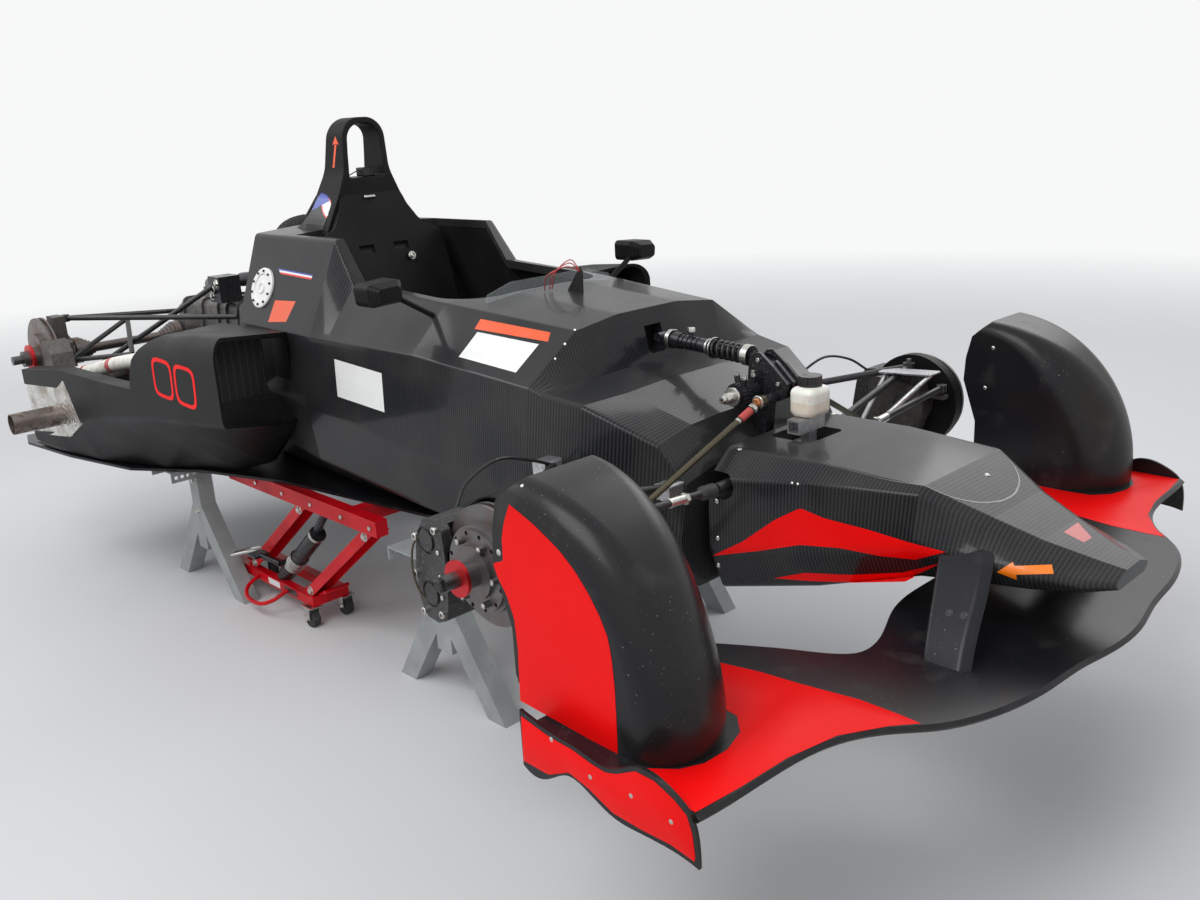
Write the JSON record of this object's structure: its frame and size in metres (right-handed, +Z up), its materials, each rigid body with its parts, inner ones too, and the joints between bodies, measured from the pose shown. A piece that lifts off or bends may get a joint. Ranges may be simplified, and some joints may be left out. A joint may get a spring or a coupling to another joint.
{
  "type": "open wheel racing car on paddock stands",
  "caption": "Single seat carbon racing car without wheels or engine cover, held on trestles and a low lift; steering turns and hubs spin.",
  "frame": {"origin": "middle of the length and width, on the floor under the stands", "axes": "+X towards the nose, +Y to the driver's left, +Z up"},
  "size_m": [3.6308, 1.798, 1.43],
  "materials": {
    "deck_carbon": "clear coated twill carbon",
    "satin_carbon": "worn satin black over carbon",
    "red_vinyl": "bright red vinyl over satin black",
    "cast_alloy": "dark oily castings",
    "burnt_steel": "heat tinted and sooty",
    "foil": "crinkled foil",
    "clear_plastic": "thin clear sheet",
    "black_steel": "satin black tube",
    "black_alloy": "black anodised",
    "white_plastic": "translucent moulding",
    "bare_alloy": "machined, oxidised",
    "caliper_grey": "hard anodised and dusty",
    "disc_iron": "turned iron with rust bloom",
    "core_alloy": "finned core",
    "grey_paint": "worn grey enamel",
    "red_paint": "gloss red enamel",
    "black_rubber": "hard rubber"
  },
  "bodies": {
    "root": {"tub": "deck_carbon", "seat_bulkhead": "satin_carbon", "hoop_fairing": "satin_carbon", "roll_hoop": "satin_carbon", "nose_box": "deck_carbon", "front_wing": "satin_carbon", "end_plates": "red_vinyl", "wing_pylons": "satin_carbon", "fender_left": "satin_carbon", "fender_right": "satin_carbon", "side_pod_left": "satin_carbon", "side_pod_right": "satin_carbon", "floor_pan": "satin_carbon", "engine_block": "cast_alloy", "intake_plenum": "satin_carbon", "gearbox": "cast_alloy", "exhaust_pipe": "burnt_steel", "heat_shield": "foil", "mirrors": "satin_carbon", "wind_screen": "clear_plastic", "front_wishbones": "black_steel", "pickup_brackets": "bare_alloy", "front_push_rods": "black_steel", "front_damper": "black_steel", "front_spring": "black_steel", "front_rocker": "black_alloy", "cross_unit": "black_alloy", "fluid_pot": "white_plastic", "pot_bracket": "bare_alloy", "rear_uprights": "bare_alloy", "rear_wishbones": "black_steel", "rear_push_rods": "black_steel", "rear_dampers": "black_alloy", "radiators": "core_alloy", "trestle_beams": "grey_paint", "trestle_frames": "grey_paint", "lift_saddle": "red_paint", "lift_base": "red_paint", "lift_arms": "red_paint", "lift_ram": "black_alloy", "lift_castors": "black_rubber"},
    "upright_left": {"upright_left": "bare_alloy", "caliper_left": "caliper_grey", "brake_duct_left": "satin_carbon"},
    "upright_right": {"upright_right": "bare_alloy", "caliper_right": "caliper_grey", "brake_duct_right": "satin_carbon"},
    "rack": {"steering_rack": "black_steel"},
    "hub_front_left": {"front_hub_left": "disc_iron"},
    "hub_front_right": {"front_hub_right": "disc_iron"},
    "hub_rear_left": {"rear_hub_left": "disc_iron"},
    "hub_rear_right": {"rear_hub_right": "disc_iron"}
  },
  "joints": [
    {"name": "steer_left", "type": "hinge", "parent": "root", "child": "upright_left", "pos_m": [0.975, 0.662, 0.631], "axis": [0, 0, 1], "range_deg": [-18, 18]},
    {"name": "steer_right", "type": "hinge", "parent": "root", "child": "upright_right", "pos_m": [0.975, -0.662, 0.631], "axis": [0, 0, 1], "range_deg": [-18, 18]},
    {"name": "rack_slide", "type": "slide", "parent": "root", "child": "rack", "axis": [0, 1, 0], "range_m": [-0.032, 0.032]},
    {"name": "spin_front_left", "type": "hinge", "parent": "upright_left", "child": "hub_front_left", "pos_m": [0.975, 0.75, 0.631], "axis": [0, 1, 0], "continuous": true},
    {"name": "spin_front_right", "type": "hinge", "parent": "upright_right", "child": "hub_front_right", "pos_m": [0.975, -0.75, 0.631], "axis": [0, 1, 0], "continuous": true},
    {"name": "spin_rear_left", "type": "hinge", "parent": "root", "child": "hub_rear_left", "pos_m": [-1.625, 0.65, 0.701], "axis": [0, 1, 0], "continuous": true},
    {"name": "spin_rear_right", "type": "hinge", "parent": "root", "child": "hub_rear_right", "pos_m": [-1.625, -0.65, 0.701], "axis": [0, 1, 0], "continuous": true}
  ],
  "couplings": [
    {"joint": "steer_right", "follows": "steer_left", "ratio": 1},
    {"joint": "rack_slide", "follows": "steer_left", "m_per_rad": 0.1}
  ]
}
